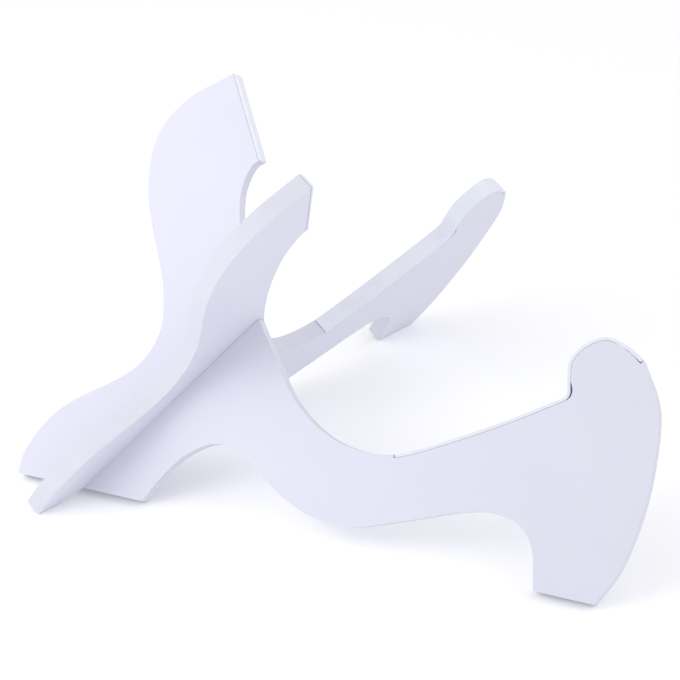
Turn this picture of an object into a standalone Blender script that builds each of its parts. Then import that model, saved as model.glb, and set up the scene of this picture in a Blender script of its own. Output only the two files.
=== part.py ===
# Ukulele stand: two flat boards that slide together in a slanting cross, with thin foam pads
# let into the edges that carry the instrument.
# Metres, +Z up. The instrument goes in from the front, which faces -Y. Left is -X.
# A board is drawn in its own plane, where u runs forward along the foot line and v runs up the board.

import math

import bmesh
import bpy
from mathutils import Matrix, Vector
from mathutils.geometry import interpolate_bezier

# Sheet, joint and fits
BOARD_THICKNESS = 0.0080
CROSSING_ANGLE = 90.0
JOINT_RAKE = 45.0
SLOT_PLAY = 0.0006
SLOT_END_GAP = 0.0003
MOUTH_FLARE_WIDTH = 0.0025
MOUTH_FLARE_DEPTH = 0.0034

# Foam pads
PAD_THICKNESS = 0.0012
PAD_BOND_GAP = 0.0003
PAD_END_GAP = 0.0006
PAD_CORNER_RADIUS = 0.0032
HORN_PAD_TIP_SETBACK = 0.0008

# Hollow that the cutter leaves behind the cradle pad where the seat turns up into the lip
SEAT_HOLLOW_HEIGHT = 0.0070
SEAT_HOLLOW_REACH = 0.0015
SEAT_HOLLOW_DEPTH = 0.0007

# Feet
HEEL = (-0.0273, 0.0)
REAR_TOE = (0.0330, 0.0)
FRONT_FOOT_BACK = (0.2130, 0.0)
FRONT_FOOT_TIP = (0.2394, 0.0)

# The named points are (forward, up) from the foot of the joint line. The points of a run between
# two of them are measured from marks spaced evenly along the straight line that joins the two.
# Underside, from the rear toe over the arch and along the arm to the front foot
UNDERSIDE = (
    (-0.0061, 0.0143),
    (-0.0120, 0.0242),
    (-0.0138, 0.0316),
    (-0.0150, 0.0301),
    (-0.0084, 0.0167),
    (-0.0061, 0.0101),
    (-0.0020, 0.0090),
    (0.0056, 0.0159),
    (0.0177, 0.0256),
    (0.0157, 0.0281),
    (0.0154, 0.0260),
    (0.0089, 0.0186),
)

# Front edge of the arm, up to the shoulder where the cradle pad ends
FRONT_EDGE = (
    (0.0069, -0.0074),
    (0.0120, -0.0063),
    (0.0133, -0.0025),
    (0.0101, 0.0031),
)
SHOULDER = (0.2386, 0.1042)

# Round lip over the pad, from the shoulder back to the inside corner
LIP = (
    (0.0000, 0.0059),
    (-0.0022, 0.0119),
    (-0.0053, 0.0160),
    (-0.0094, 0.0143),
    (-0.0103, 0.0092),
    (-0.0056, 0.0046),
)
INSIDE_CORNER = (0.2099, 0.0834)

# Cradle over the pad, from the inside corner down to the pad's lower end
CRADLE = (
    (0.0055, 0.0021),
    (0.0106, 0.0042),
    (0.0078, 0.0024),
)
PAD_START = (0.1410, 0.0438)

# Bare top edge, from the pad's lower end over the joint and round the throat to the horn
THROAT = (
    (-0.0031, -0.0141),
    (-0.0101, -0.0236),
    (-0.0181, -0.0248),
    (-0.0215, -0.0211),
    (-0.0263, -0.0131),
    (-0.0294, 0.0016),
    (-0.0245, 0.0120),
    (-0.0119, 0.0108),
)

# Horn that the instrument leans on, without its pad
HORN_LOW = (0.0525, 0.1577)
HORN_TIP = (0.0321, 0.1941)

# Back edge, from the horn's tip down to the heel
BACK_EDGE = (
    (-0.0126, 0.0058),
    (-0.0154, 0.0099),
    (-0.0077, 0.0061),
    (0.0163, -0.0155),
    (0.0251, -0.0121),
    (0.0247, -0.0068),
    (-0.0013, -0.0123),
    (-0.0058, -0.0116),
)

# Mesh fineness
CURVE_STEP = 0.0016
CORNER_STEPS = 6

# Looks
BOARD_COLOUR = (0.83, 0.83, 0.87, 1.0)
BOARD_ROUGHNESS = 0.45
PAD_COLOUR = (0.80, 0.83, 0.85, 1.0)
PAD_ROUGHNESS = 0.85


def clearScene():
    for item in list(bpy.data.objects):
        bpy.data.objects.remove(item, do_unlink=True)


def makeMaterial(name, colour, roughness):
    material = bpy.data.materials.new(name)
    material.use_nodes = True
    shader = material.node_tree.nodes["Principled BSDF"]
    shader.inputs["Base Color"].default_value = colour
    shader.inputs["Roughness"].default_value = roughness
    shader.inputs["Metallic"].default_value = 0.0
    return material


def handles(before, start, end, after):
    # Bezier handles of a smooth curve through four points in a row
    a = math.sqrt((start - before).length)
    b = math.sqrt((end - start).length)
    c = math.sqrt((after - end).length)
    first = (end * a * a - before * b * b + start * (2 * a * a + 3 * a * b + b * b)) / (3 * a * (a + b))
    second = (start * c * c - after * b * b + end * (2 * c * c + 3 * c * b + b * b)) / (3 * c * (c + b))
    return first, second


def smoothCurve(points):
    # Points along a smooth curve through the given points, both ends included
    knots = [2 * points[0] - points[1]] + points + [2 * points[-1] - points[-2]]
    curve = []
    for index in range(1, len(knots) - 2):
        before, start, end, after = knots[index - 1:index + 3]
        first, second = handles(before, start, end, after)
        count = max(2, math.ceil((end - start).length / CURVE_STEP)) + 1
        curve += [point.to_2d() for point in interpolate_bezier(
            start.to_3d(), first.to_3d(), second.to_3d(), end.to_3d(), count)[:-1]]
    curve.append(knots[-2])
    return curve


def shifted(path, distance):
    # The path moved sideways, to its left for a positive distance, with its corners kept sharp
    moved = []
    for index, point in enumerate(path):
        sides = []
        if index > 0:
            sides.append((point - path[index - 1]).normalized())
        if index < len(path) - 1:
            sides.append((path[index + 1] - point).normalized())
        normals = [Vector((-side.y, side.x)) for side in sides]
        middle = sum(normals, Vector((0.0, 0.0))).normalized()
        moved.append(point + middle * (distance / middle.dot(normals[0])))
    return moved


def roundedCorner(path, corner, radius):
    # The path with one sharp corner replaced by an arc that touches both sides
    point = path[corner]
    back = (path[corner - 1] - point).normalized()
    ahead = (path[corner + 1] - point).normalized()
    half = 0.5 * back.angle(ahead)
    reach = radius / math.tan(half)
    centre = point + (back + ahead).normalized() * (radius / math.sin(half))
    start = point + back * reach - centre
    end = point + ahead * reach - centre
    turn = start.angle_signed(end)
    arc = []
    for step in range(CORNER_STEPS + 1):
        spin = Matrix.Rotation(-turn * step / CORNER_STEPS, 2)
        arc.append(centre + spin @ start)
    before = [p for p in path[:corner] if (p - point).length > reach]
    after = [p for p in path[corner + 1:] if (p - point).length > reach]
    return before + arc + after


def trimmed(path, startCut, endCut):
    # The path shortened by a length at each end
    points = list(path)
    for cut in (startCut, endCut):
        while (points[1] - points[0]).length <= cut:
            cut -= (points[1] - points[0]).length
            points.pop(0)
        points[0] = points[0] + (points[1] - points[0]).normalized() * cut
        points.reverse()
    return points


def run(start, offsets, end):
    # Points of the outline from one named point to the next, both included
    first = Vector(start)
    last = Vector(end)
    points = [first]
    for index, offset in enumerate(offsets, 1):
        points.append(first.lerp(last, index / (len(offsets) + 1)) + Vector(offset))
    points.append(last)
    return points


def topEdge():
    # Finished edge under the cradle pad, the index of its sharp inside corner, and the bare edge after it
    lip = smoothCurve(run(SHOULDER, LIP, INSIDE_CORNER))
    cradle = run(INSIDE_CORNER, CRADLE, PAD_START)
    top = smoothCurve(cradle + run(PAD_START, THROAT, HORN_LOW)[1:])
    split = min(range(len(top)), key=lambda index: (top[index] - cradle[-1]).length)
    return lip[:-1] + top[:split + 1], len(lip) - 1, top[split:]


def hollowedCorner(path, corner):
    # The path with one sharp corner replaced by a round hollow that eats into the side before it
    point = path[corner]
    before = [p for p in path[:corner] if (p - point).length > SEAT_HOLLOW_HEIGHT]
    after = [p for p in path[corner + 1:] if (p - point).length > SEAT_HOLLOW_REACH]
    deeper = (point - path[corner + 1]).normalized() * (2.0 * SEAT_HOLLOW_DEPTH)
    high = before[-1].lerp(point, 0.5) + deeper
    low = point + deeper
    count = math.ceil(SEAT_HOLLOW_HEIGHT / CURVE_STEP) * 2
    hollow = interpolate_bezier(
        before[-1].to_3d(), high.to_3d(), low.to_3d(), after[0].to_3d(), count)
    return before[:-1] + [p.to_2d() for p in hollow] + after[1:]


def boardOutline():
    # Whole edge of a board, counterclockwise from the toe, with the shallow seat of the cradle pad
    padded, corner, bare = topEdge()
    edge = smoothCurve(run(REAR_TOE, UNDERSIDE, FRONT_FOOT_BACK))
    edge += smoothCurve(run(FRONT_FOOT_TIP, FRONT_EDGE, SHOULDER))
    edge += hollowedCorner(shifted(padded, PAD_THICKNESS + PAD_BOND_GAP), corner)
    edge += bare
    edge += smoothCurve(run(HORN_TIP, BACK_EDGE, HEEL))
    return edge


def prism(bm, outline, thickness):
    # Closed slab from an outline in the board's plane, half the thickness to each side of it
    back = [bm.verts.new((p.x, -0.5 * thickness, p.y)) for p in outline]
    face = bm.faces.new(back)
    grown = bmesh.ops.extrude_face_region(bm, geom=[face])
    front = [item for item in grown["geom"] if isinstance(item, bmesh.types.BMVert)]
    bmesh.ops.translate(bm, verts=front, vec=(0.0, thickness, 0.0))
    bmesh.ops.recalc_face_normals(bm, faces=bm.faces)


def slab(name, outline, thickness, material, plane):
    mesh = bpy.data.meshes.new(name)
    bm = bmesh.new()
    prism(bm, outline, thickness)
    bm.to_mesh(mesh)
    bm.free()
    mesh.materials.append(material)
    piece = bpy.data.objects.new(name, mesh)
    piece.parent = plane
    bpy.context.scene.collection.objects.link(piece)
    return piece


def boardFrame(side):
    # World axes of a board: forward along the table, up the board, its outward normal and the joint line.
    # Side is -1 for the board whose arm reaches left and 1 for its mirror image.
    rake = math.radians(JOINT_RAKE)
    half = 0.5 * math.radians(CROSSING_ANGLE)
    joint = Vector((0.0, -math.cos(rake), math.sin(rake)))
    across = Vector((0.0, -math.sin(rake), -math.cos(rake)))
    plane = Vector((side * math.sin(half), 0.0, 0.0)) + math.cos(half) * across
    outward = side * joint.cross(plane)
    forward = side * outward.cross(Vector((0.0, 0.0, 1.0))).normalized()
    upward = side * forward.cross(outward)
    return forward, upward, outward, joint


def jointInPlane():
    # Directions along and across the joint line in a board's own plane, where the line starts at u = v = 0
    forward, upward, _, joint = boardFrame(1)
    along = Vector((joint.dot(forward), joint.dot(upward)))
    return along, Vector((-along.y, along.x))


def slotWidth():
    angle = math.radians(CROSSING_ANGLE)
    return BOARD_THICKNESS * (1.0 + abs(math.cos(angle))) / math.sin(angle) + SLOT_PLAY


def jointLength(outline):
    # Length of the joint line from the foot line to the board's top edge
    along, aside = jointInPlane()
    reach = 0.0
    for first, second in zip(outline, outline[1:] + outline[:1]):
        a = first.dot(aside)
        b = second.dot(aside)
        if a * b < 0.0:
            reach = max(reach, first.lerp(second, a / (a - b)).dot(along))
    return reach


def slotOutline(openAtTop, length):
    # Slot along the joint line, half the joint long, open at the top or at a flared mouth in the foot
    along, aside = jointInPlane()
    half = 0.5 * slotWidth()
    middle = 0.5 * length
    if openAtTop:
        rows = [(middle - 0.5 * SLOT_END_GAP, half), (length + middle, half)]
    else:
        slope = MOUTH_FLARE_WIDTH / MOUTH_FLARE_DEPTH
        below = 2.0 * BOARD_THICKNESS
        rows = [
            (middle + 0.5 * SLOT_END_GAP, half),
            (MOUTH_FLARE_DEPTH, half),
            (-below, half + slope * (MOUTH_FLARE_DEPTH + below)),
        ]
    oneSide = [along * distance - aside * width for distance, width in rows]
    otherSide = [along * distance + aside * width for distance, width in reversed(rows)]
    return oneSide + otherSide


def cutSlot(board, openAtTop, length):
    outline = slotOutline(openAtTop, length)
    cutter = slab(board.name + "_slot", outline, 2.0 * BOARD_THICKNESS, board.data.materials[0], board.parent)
    cutter.hide_render = True
    cutter.display_type = "WIRE"
    cut = board.modifiers.new("joint slot", "BOOLEAN")
    cut.operation = "DIFFERENCE"
    cut.solver = "EXACT"
    cut.object = cutter


def cradlePadOutline():
    # Foam strip that lies in its seat and bridges the inside corner with a bend
    path, corner, _ = topEdge()
    front = roundedCorner(path, corner, PAD_CORNER_RADIUS)
    front = trimmed(front, PAD_END_GAP, PAD_END_GAP)
    back = shifted(front, PAD_THICKNESS)
    return back + front[::-1]


def hornPadOutline():
    # Straight strip on the horn's front face, over its bond gap
    low = Vector(HORN_LOW)
    tip = Vector(HORN_TIP)
    along = (tip - low).normalized()
    outward = Vector((along.y, -along.x))
    end = tip - along * HORN_PAD_TIP_SETBACK
    near = outward * PAD_BOND_GAP
    far = outward * (PAD_BOND_GAP + PAD_THICKNESS)
    return [low + near, end + near, end + far, low + far]


def standPosition(outline):
    # Foot of the joint line. The stand's depth is centred on the origin, and as its square-cut
    # feet stand on their inner corners, the boards' middle planes start above the table.
    forward, upward, outward, _ = boardFrame(1)
    depth = [p.x * forward.y + p.y * upward.y for p in outline]
    middle = 0.5 * (min(depth) + max(depth))
    return Vector((0.0, -middle, 0.5 * BOARD_THICKNESS * abs(outward.z)))


def boardPlane(name, side, position):
    # Empty at the foot of the joint line whose X, Y and Z axes are u, across the board and v
    forward, upward, _, _ = boardFrame(side)
    axes = Matrix((forward, upward.cross(forward), upward)).transposed().to_4x4()
    plane = bpy.data.objects.new(name, None)
    bpy.context.scene.collection.objects.link(plane)
    plane.matrix_world = Matrix.Translation(position) @ axes
    return plane


def buildHalf(side, name, openAtTop, outline):
    boardMaterial = makeMaterial(name + " white board", BOARD_COLOUR, BOARD_ROUGHNESS)
    padMaterial = makeMaterial(name + " white foam", PAD_COLOUR, PAD_ROUGHNESS)
    plane = boardPlane(name + "_board_plane", side, standPosition(outline))
    board = slab(name + "_board", outline, BOARD_THICKNESS, boardMaterial, plane)
    cutSlot(board, openAtTop, jointLength(outline))
    slab(name + "_cradle_pad", cradlePadOutline(), BOARD_THICKNESS, padMaterial, plane)
    slab(name + "_horn_pad", hornPadOutline(), BOARD_THICKNESS, padMaterial, plane)


def main():
    clearScene()
    outline = boardOutline()
    buildHalf(-1, "left", True, outline)
    buildHalf(1, "right", False, outline)


main()
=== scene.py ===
# Ukulele stand of white expanded PVC sheet with foam pads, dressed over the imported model.
# Metres, +Z up. The left half is the board whose arm reaches to -X, nearest the camera.

import math

import bmesh
import bpy
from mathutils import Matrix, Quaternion, Vector, noise
from mathutils.bvhtree import BVHTree


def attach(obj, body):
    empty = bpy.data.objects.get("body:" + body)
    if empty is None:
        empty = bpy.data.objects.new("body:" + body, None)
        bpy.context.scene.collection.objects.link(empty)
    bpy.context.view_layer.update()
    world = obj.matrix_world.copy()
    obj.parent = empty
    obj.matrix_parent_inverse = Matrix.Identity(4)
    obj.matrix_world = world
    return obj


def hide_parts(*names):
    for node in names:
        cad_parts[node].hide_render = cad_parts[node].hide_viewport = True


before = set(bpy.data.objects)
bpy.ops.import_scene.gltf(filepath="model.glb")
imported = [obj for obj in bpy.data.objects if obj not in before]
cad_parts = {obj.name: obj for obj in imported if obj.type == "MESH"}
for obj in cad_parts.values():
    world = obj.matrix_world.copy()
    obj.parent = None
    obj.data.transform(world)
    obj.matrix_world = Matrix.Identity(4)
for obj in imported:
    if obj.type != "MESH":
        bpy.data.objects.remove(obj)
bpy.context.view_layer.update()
print("frame loaded")

mm = 0.001  # one millimetre; a value whose name ends in Mm is in millimetres


# Colours and nodes

def linear(hexColour):
    # sRGB hex to the linear light that the shaders mix in
    channels = [int(hexColour[i:i + 2], 16) / 255 for i in (0, 2, 4)]
    return tuple(c / 12.92 if c <= 0.04045 else ((c + 0.055) / 1.055) ** 2.4 for c in channels) + (1.0,)


def addNode(tree, kind, inputs=None, stops=(), **settings):
    # Adds a node with its settings; an input is a value or another node's output,
    # and a stop is a position on a colour ramp with the sRGB tone there
    node = tree.nodes.new(kind)
    for name, value in settings.items():
        setattr(node, name, value)
    for name, value in (inputs or {}).items():
        if isinstance(value, bpy.types.NodeSocket):
            tree.links.new(value, node.inputs[name])
        else:
            node.inputs[name].default_value = value
    for index, (position, tone) in enumerate(stops):
        node.color_ramp.elements[index].position = position
        node.color_ramp.elements[index].color = linear(tone)
    return node


def newMaterial(name):
    material = bpy.data.materials.new(name)
    material.use_nodes = True
    material.node_tree.nodes.clear()
    return material, material.node_tree


def finishMaterial(tree, shader):
    addNode(tree, "ShaderNodeOutputMaterial", {"Surface": shader.outputs["BSDF"]})


def perMetre(sizeMm):
    # Texture scale whose features are about this many millimetres apart
    return 1.0 / (sizeMm * mm)


# Mesh work that the boards and the pads share

meshWork = {
    "weldMm": 0.002,      # corners of the CAD's mesh that lie this close are one corner
    "flatDegrees": 0.05,  # neighbouring faces that turn less than this are one flat face
    "startMm": 0.01,      # a ray starts this far off its own face
    "reachMm": 1.6,       # a face that sees another piece this close is a seat or a joint
    "seatShare": 0.2,     # an arris at a seat is left nearly sharp, so that the parts meet in a hairline
}


def weldedCopy(nodeName):
    # The CAD solid's mesh with its split corners joined and its flat faces made whole again
    bm = bmesh.new()
    bm.from_mesh(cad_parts[nodeName].data)
    bmesh.ops.remove_doubles(bm, verts=bm.verts, dist=meshWork["weldMm"] * mm)
    turn = math.radians(meshWork["flatDegrees"])
    bmesh.ops.dissolve_limit(bm, angle_limit=turn, verts=bm.verts, edges=bm.edges)
    bmesh.ops.recalc_face_normals(bm, faces=bm.faces)
    return bm


def broadNormal(bm):
    # Normal of the largest face, which is one of the board's two skins
    return max(bm.faces, key=lambda face: face.calc_area()).normal.copy()


def meanNormal(faces):
    return sum((face.normal for face in faces), Vector()).normalized()


def solidTrees():
    # Each CAD solid as a tree that rays can be cast at
    trees = {}
    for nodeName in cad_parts:
        bm = weldedCopy(nodeName)
        trees[nodeName] = BVHTree.FromBMesh(bm)
        bm.free()
    return trees


def seatedFaces(bm, neighbours):
    # Faces that look at another piece close in front of them
    found = set()
    for face in bm.faces:
        start = face.calc_center_median() + face.normal * meshWork["startMm"] * mm
        for tree in neighbours:
            if tree.ray_cast(start, face.normal, meshWork["reachMm"] * mm)[0] is not None:
                found.add(face)
    return found


def weighArrises(bm, seated, leastDegrees):
    # Weight of the rounding: full where an arris is free, little where it lies against another piece
    weights = bm.edges.layers.float.new("bevel_weight_edge")
    for edge in bm.edges:
        if edge.calc_face_angle(0.0) > math.radians(leastDegrees):
            against = any(face in seated for face in edge.link_faces)
            edge[weights] = meshWork["seatShare"] if against else 1.0


def moveVertices(moves):
    # All moves are worked out beforehand, so that none is measured on a mesh already moved
    for vert, move in moves:
        vert.co += move


def addPiece(bm, name, materials):
    mesh = bpy.data.meshes.new(name)
    bm.to_mesh(mesh)
    bm.free()
    for material in materials:
        mesh.materials.append(material)
    piece = bpy.data.objects.new(name, mesh)
    bpy.context.scene.collection.objects.link(piece)
    return piece


def softenArrises(piece, widthMm, steps):
    # The overlap clamp takes the width down to almost nothing on the boards and the cradle strips,
    # so their arrises are still sharp; only the horn strips get the whole of it
    piece.data.shade_smooth()
    soften = piece.modifiers.new("rubbed arris", "BEVEL")
    soften.width = widthMm * mm
    soften.segments = steps
    soften.limit_method = "WEIGHT"
    soften.use_clamp_overlap = True
    soften.miter_outer = "MITER_ARC"
    shading = piece.modifiers.new("flat faces shaded flat", "WEIGHTED_NORMAL")
    shading.weight = 100


# Board, faces and cut edges

sheet = {
    "skinTones": ((0.35, "D6D6E4"), (0.65, "D8D8E6")),  # value of the cloud pattern and the tone there
    "cloudMm": 42.0,       # slow change of tone in the rolled skin
    "peelMm": 1.6,         # orange peel of the skin, drawn coarser than the real 0.4 mm so that it shows
    "peelDepthMm": 0.012,
    "skinRoughness": (0.40, 0.50),
    "coreTones": ((0.30, "D0D1DC"), (0.66, "D3D4DF")),  # value of the blotch pattern and the tone there
    "cellMm": 0.9,         # foam cells opened by the cutter, drawn coarser than the real 0.2 mm
    "cellDepthMm": 0.018,
    "cutterMm": 1.3,       # ripple that the router's feed leaves across the edge
    "cutterDepthMm": 0.012,
    "blotchMm": 5.0,       # patches where the cutter rubbed the edge smoother
    "coreRoughness": (0.58, 0.74),
    "ior": 1.53,           # PVC
    "skinCosine": 0.99,    # a face whose normal is this near the board's own is skin, the rest is cut edge
    "arrisDegrees": 32.0,  # a sharper turn counts as an arris
    "softenMm": 0.30,      # rounding asked for, as on an arris rubbed over after cutting; see softenArrises
    "softenSteps": 3,
    "wallAreaMm2": 200.0,  # of a slot's faces only its two side walls are larger than this
    "wallMm": 0.20,        # the boards are a push fit, so the walls stand this much closer than the CAD's
}


def rolledSkin(side):
    # Expanded PVC sheet, skinned as it is extruded: an even satin white with a faint peel
    material, tree = newMaterial(side + "_expanded_pvc_rolled_skin")
    place = addNode(tree, "ShaderNodeTexCoord").outputs["Object"]
    cloud = addNode(tree, "ShaderNodeTexNoise", {
        "Vector": place, "Scale": perMetre(sheet["cloudMm"]), "Detail": 3.0, "Roughness": 0.5})
    peel = addNode(tree, "ShaderNodeTexNoise", {
        "Vector": place, "Scale": perMetre(sheet["peelMm"]), "Detail": 2.0, "Roughness": 0.55})
    tone = addNode(tree, "ShaderNodeValToRGB", {"Fac": cloud.outputs["Fac"]}, stops=sheet["skinTones"])
    gloss = addNode(tree, "ShaderNodeMapRange", {
        "Value": cloud.outputs["Fac"],
        "To Min": sheet["skinRoughness"][0], "To Max": sheet["skinRoughness"][1]})
    bump = addNode(tree, "ShaderNodeBump", {
        "Height": peel.outputs["Fac"], "Strength": 0.6, "Distance": sheet["peelDepthMm"] * mm})
    shader = addNode(tree, "ShaderNodeBsdfPrincipled", {
        "Base Color": tone.outputs["Color"], "Roughness": gloss.outputs["Result"],
        "Normal": bump.outputs["Normal"], "IOR": sheet["ior"]})
    finishMaterial(tree, shader)
    return material


def routedCore(side, acrossBoard):
    # The same sheet where a router cut it: opened cells and fine ripples, so duller and mottled
    material, tree = newMaterial(side + "_expanded_pvc_routed_edge")
    place = addNode(tree, "ShaderNodeTexCoord").outputs["Object"]
    depth = addNode(tree, "ShaderNodeVectorMath", {0: place, 1: acrossBoard}, operation="DOT_PRODUCT")
    offPlane = addNode(tree, "ShaderNodeVectorMath", {
        0: acrossBoard, "Scale": depth.outputs["Value"]}, operation="SCALE")
    inPlane = addNode(tree, "ShaderNodeVectorMath", {
        0: place, 1: offPlane.outputs[0]}, operation="SUBTRACT")
    ripple = addNode(tree, "ShaderNodeTexNoise", {
        "Vector": inPlane.outputs[0], "Scale": perMetre(sheet["cutterMm"]), "Detail": 1.0})
    cells = addNode(tree, "ShaderNodeTexVoronoi", {"Vector": place, "Scale": perMetre(sheet["cellMm"])})
    blotch = addNode(tree, "ShaderNodeTexNoise", {
        "Vector": place, "Scale": perMetre(sheet["blotchMm"]), "Detail": 4.0, "Roughness": 0.6})
    tone = addNode(tree, "ShaderNodeValToRGB", {"Fac": blotch.outputs["Fac"]}, stops=sheet["coreTones"])
    gloss = addNode(tree, "ShaderNodeMapRange", {
        "Value": blotch.outputs["Fac"],
        "To Min": sheet["coreRoughness"][0], "To Max": sheet["coreRoughness"][1]})
    pits = addNode(tree, "ShaderNodeBump", {
        "Height": cells.outputs["Distance"], "Strength": 0.5, "Distance": sheet["cellDepthMm"] * mm})
    lines = addNode(tree, "ShaderNodeBump", {
        "Height": ripple.outputs["Fac"], "Normal": pits.outputs["Normal"],
        "Strength": 0.5, "Distance": sheet["cutterDepthMm"] * mm})
    shader = addNode(tree, "ShaderNodeBsdfPrincipled", {
        "Base Color": tone.outputs["Color"], "Roughness": gloss.outputs["Result"],
        "Normal": lines.outputs["Normal"], "IOR": sheet["ior"]})
    finishMaterial(tree, shader)
    return material


def slotWalls(bm, mateTree):
    # Side walls of the slot: routed faces that look straight at the other board
    least = sheet["wallAreaMm2"] * mm * mm
    facing = seatedFaces(bm, [mateTree])
    return [face for face in facing if face.material_index == 1 and face.calc_area() > least]


def dressBoard(side, mate, trees):
    # The CAD board with its skin and cut edge finished and its slot closed to a push fit
    board = side + "_board"
    bm = weldedCopy(board)
    across = broadNormal(bm)
    seated = seatedFaces(bm, [tree for name, tree in trees.items() if name != board])
    for face in bm.faces:
        face.material_index = 0 if abs(face.normal.dot(across)) > sheet["skinCosine"] else 1
    weighArrises(bm, seated, sheet["arrisDegrees"])
    slotSides = slotWalls(bm, trees[mate + "_board"])
    moveVertices([(vert, face.normal * sheet["wallMm"] * mm) for face in slotSides for vert in face.verts])
    piece = addPiece(bm, side + "_board_sheet", [rolledSkin(side), routedCore(side, across)])
    softenArrises(piece, sheet["softenMm"], sheet["softenSteps"])
    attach(piece, side + "_half")
    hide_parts(board)
    print(side, "board dressed, slot walls", len(slotSides))
    return across


# Foam pads

foam = {
    "tones": ((0.30, "DEE1EA"), (0.60, "E2E5EE")),  # value of the patch pattern and the tone there
    "cellMm": 1.1,         # closed cells, drawn coarser than the real 0.3 mm so that they show
    "cellDepthMm": 0.04,
    "patchMm": 8.8,        # unevenness of tone in the foam's skin
    "roughness": (0.80, 0.92),
    "ior": 1.49,           # EVA
    "arrisDegrees": 40.0,  # a sharper turn counts as an arris
    "sideCosine": 0.5,     # a face whose normal is nearer the board's own than this is a cut side
    "crownMm": 0.14,       # middle of the strip stands prouder than its cut sides
    "bondMm": 0.17,        # how far the foam settles into the glue gap of 0.3 mm
    "liftMm": 0.10,        # the right horn's strip stands this much further off instead: a dark hairline
    "slices": 10,          # rows of faces across the strip
    "edgeMm": 0.22,        # rounding asked for, which only the horn strips get; see softenArrises
    "edgeSteps": 3,
    "waveMm": 0.05,        # unevenness of a strip laid by hand
    "waveLengthMm": 14.0,
    "thinMm": 0.15,        # the cradle strip's shoulder end has let go of its glue and is this much thinner
    "thinLengthMm": 4.0,
}


def closedCellFoam(side):
    # EVA foam strip with its moulded skin: matt, a little greener than the sheet, finely pocked
    material, tree = newMaterial(side + "_eva_foam_strip")
    place = addNode(tree, "ShaderNodeTexCoord").outputs["Object"]
    cells = addNode(tree, "ShaderNodeTexVoronoi", {"Vector": place, "Scale": perMetre(foam["cellMm"])})
    patches = addNode(tree, "ShaderNodeTexNoise", {
        "Vector": place, "Scale": perMetre(foam["patchMm"]), "Detail": 4.0, "Roughness": 0.6})
    tone = addNode(tree, "ShaderNodeValToRGB", {"Fac": patches.outputs["Fac"]}, stops=foam["tones"])
    gloss = addNode(tree, "ShaderNodeMapRange", {
        "Value": patches.outputs["Fac"],
        "To Min": foam["roughness"][0], "To Max": foam["roughness"][1]})
    bump = addNode(tree, "ShaderNodeBump", {
        "Height": cells.outputs["Distance"], "Strength": 0.6, "Distance": foam["cellDepthMm"] * mm})
    shader = addNode(tree, "ShaderNodeBsdfPrincipled", {
        "Base Color": tone.outputs["Color"], "Roughness": gloss.outputs["Result"],
        "Normal": bump.outputs["Normal"], "IOR": foam["ior"],
        "Sheen Weight": 0.12, "Sheen Roughness": 0.6})
    finishMaterial(tree, shader)
    return material


def cutRows(bm, across, low, high):
    # Rows of faces across the strip, which the crown then lifts
    for row in range(1, foam["slices"]):
        point = across * (low + (high - low) * row / foam["slices"])
        everything = bm.verts[:] + bm.edges[:] + bm.faces[:]
        bmesh.ops.bisect_plane(bm, geom=everything, plane_co=point, plane_no=across)
    bm.normal_update()


def looseness(point, tip, across):
    # 1 at the free end of a strip, 0 where its glue holds
    away = point - tip
    away -= across * away.dot(across)
    share = max(0.0, 1.0 - away.length / (foam["thinLengthMm"] * mm))
    return share * share * (3.0 - 2.0 * share)


def dressPad(side, kind, across, material, boardTree):
    # The flat CAD strip cut into rows, then crowned, settled into its glue and let wander a little
    node = side + "_" + kind + "_pad"
    bm = weldedCopy(node)
    low = min(vert.co.dot(across) for vert in bm.verts)
    high = max(vert.co.dot(across) for vert in bm.verts)
    tip = min(bm.verts, key=lambda vert: vert.co.y).co.copy()  # the shoulder end is the one furthest forward
    cutRows(bm, across, low, high)
    seated = seatedFaces(bm, [boardTree])
    weighArrises(bm, seated, foam["arrisDegrees"])
    bond = -foam["liftMm"] if node == "right_horn_pad" else foam["bondMm"]
    moves = []
    for vert in bm.verts:
        rims = [face for face in vert.link_faces if abs(face.normal.dot(across)) < foam["sideCosine"]]
        back = [face for face in rims if face in seated]
        front = [face for face in rims if face not in seated]
        spread = (vert.co.dot(across) - low) / (high - low) * 2.0 - 1.0
        swell = foam["crownMm"] * mm * (1.0 - spread * spread)
        wave = foam["waveMm"] * mm * noise.noise(vert.co / (foam["waveLengthMm"] * mm))
        if back:
            free = looseness(vert.co, tip, across) if kind == "cradle" else 0.0
            settle = bond * (1.0 - free) - foam["thinMm"] * free
            moves.append((vert, meanNormal(back) * settle * mm))
        elif front:
            moves.append((vert, meanNormal(front) * (swell + wave)))
    moveVertices(moves)
    bm.normal_update()
    piece = addPiece(bm, node + "_foam", [material])
    softenArrises(piece, foam["edgeMm"], foam["edgeSteps"])
    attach(piece, side + "_half")
    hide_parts(node)
    print(side, kind, "pad dressed")


# Camera

photo = {
    "position": (-0.9761, 0.2784, 0.5728),
    "azimuth": -106.789,  # degrees, as all three angles are; 0 looks along +Y
    "elevation": 26.486,
    "roll": 3.112,
    "lens": 134.61,       # on the 36 mm sensor
    "nearest": 0.01,      # clip distances in metres
    "furthest": 100.0,
}


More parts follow.
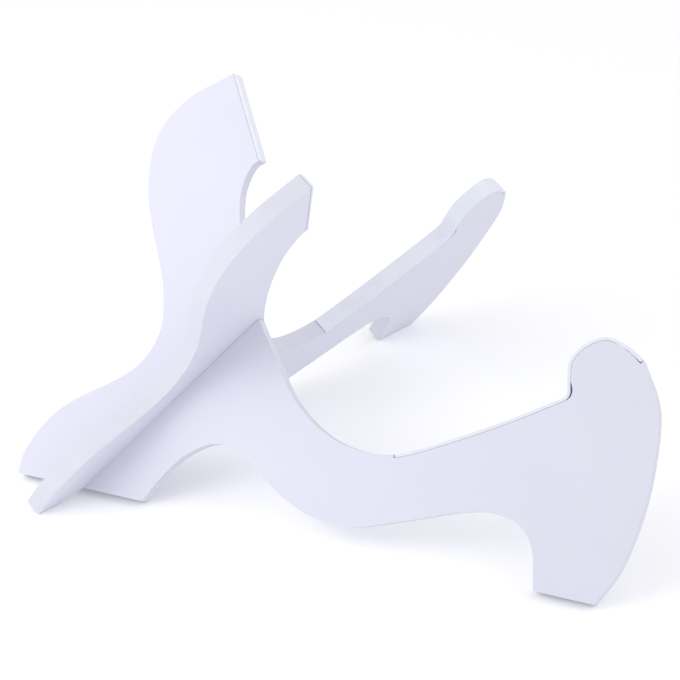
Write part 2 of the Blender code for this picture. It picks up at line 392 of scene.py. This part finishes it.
def placeCamera():
    azimuth = math.radians(photo["azimuth"])
    elevation = math.radians(photo["elevation"])
    ahead = Vector((
        -math.sin(azimuth) * math.cos(elevation),
        math.cos(azimuth) * math.cos(elevation),
        -math.sin(elevation)))
    camera = bpy.data.objects.new("photo_camera", bpy.data.cameras.new("photo_camera"))
    bpy.context.scene.collection.objects.link(camera)
    camera.data.lens = photo["lens"]
    camera.location = photo["position"]
    camera.rotation_mode = "QUATERNION"
    level = ahead.to_track_quat("-Z", "Y")
    camera.rotation_quaternion = level @ Quaternion((0.0, 0.0, 1.0), math.radians(photo["roll"]))
    camera.data.clip_start = photo["nearest"]
    camera.data.clip_end = photo["furthest"]
    bpy.context.scene.camera = camera


# Light

studioWalls = {  # white walls and ceiling: the way each lies, its brightness and its tint
    "back_wall": ((0.0, 1.0, 0.0), 0.61, "FFFFFF"),
    "front_wall": ((0.0, -1.0, 0.0), 1.17, "FAFBFF"),
    "left_wall": ((-1.0, 0.0, 0.0), 0.37, "FAFBFF"),
    "ceiling": ((0.0, 0.0, 1.0), 0.70, "FFFFFF"),
}

softboxes = {
    "colour": "FFFFFF",
    "aim": (0.0, 0.0, 0.06),
    "lamps": {  # place, width in metres and power in watts
        "key_softbox": ((-0.30, 0.60, 0.50), 0.40, 1.26),
        "back_softbox": ((0.05, 0.45, 0.35), 0.35, 0.34),
    },
}


def paintWalls():
    # Soft light from three walls and the ceiling, each brightest straight ahead and fading to its sides
    world = bpy.data.worlds.new("white studio")
    bpy.context.scene.world = world
    world.use_nodes = True
    tree = world.node_tree
    way = addNode(tree, "ShaderNodeTexCoord").outputs["Generated"]
    total = (0.0, 0.0, 0.0)
    for toward, brightness, tint in studioWalls.values():
        facing = addNode(tree, "ShaderNodeVectorMath", {0: way, 1: toward}, operation="DOT_PRODUCT")
        fade = addNode(tree, "ShaderNodeMath", {0: facing.outputs["Value"], 1: 0.0}, operation="MAXIMUM")
        colour = Vector(linear(tint)[:3]) * brightness
        glow = addNode(tree, "ShaderNodeVectorMath", {
            0: colour, "Scale": fade.outputs[0]}, operation="SCALE")
        total = addNode(tree, "ShaderNodeVectorMath", {
            0: total, 1: glow.outputs[0]}, operation="ADD").outputs[0]
    tree.links.new(total, tree.nodes["Background"].inputs["Color"])


def hangSoftboxes():
    for name, (place, width, power) in softboxes["lamps"].items():
        lamp = bpy.data.lights.new(name, "AREA")
        lamp.shape = "DISK"
        lamp.size = width
        lamp.energy = power
        lamp.color = linear(softboxes["colour"])[:3]
        softbox = bpy.data.objects.new(name, lamp)
        bpy.context.scene.collection.objects.link(softbox)
        softbox.location = place
        softbox.visible_camera = False
        softbox.rotation_mode = "QUATERNION"
        softbox.rotation_quaternion = (Vector(softboxes["aim"]) - softbox.location).to_track_quat("-Z", "Y")


# Floor

table = {
    "colour": "FCFCFD",
    "glow": 0.08,         # light that comes up through the table
    "roughness": 0.9,
    "grainMm": 2.5,
    "grainDepthMm": 0.02,
    "width": 8.0,         # metres
}


def layFloor():
    # Opal acrylic light table: sanded matt, with a grain only just there, and lit from below
    material, tree = newMaterial("opal_acrylic_light_table")
    place = addNode(tree, "ShaderNodeTexCoord").outputs["Object"]
    grain = addNode(tree, "ShaderNodeTexNoise", {"Vector": place, "Scale": perMetre(table["grainMm"])})
    bump = addNode(tree, "ShaderNodeBump", {
        "Height": grain.outputs["Fac"], "Strength": 0.1, "Distance": table["grainDepthMm"] * mm})
    shader = addNode(tree, "ShaderNodeBsdfPrincipled", {
        "Base Color": linear(table["colour"]), "Roughness": table["roughness"],
        "Normal": bump.outputs["Normal"],
        "Emission Color": linear(table["colour"]), "Emission Strength": table["glow"]})
    finishMaterial(tree, shader)
    bm = bmesh.new()
    bmesh.ops.create_grid(bm, x_segments=4, y_segments=4, size=0.5 * table["width"])
    addPiece(bm, "light_table", [material])


placeCamera()
paintWalls()
hangSoftboxes()
layFloor()
bpy.context.scene.view_settings.view_transform = "Standard"
print("camera, light and floor set")

trees = solidTrees()
for side, mate in (("left", "right"), ("right", "left")):
    across = dressBoard(side, mate, trees)
    foamMaterial = closedCellFoam(side)
    for kind in ("cradle", "horn"):
        dressPad(side, kind, across, foamMaterial, trees[side + "_board"])
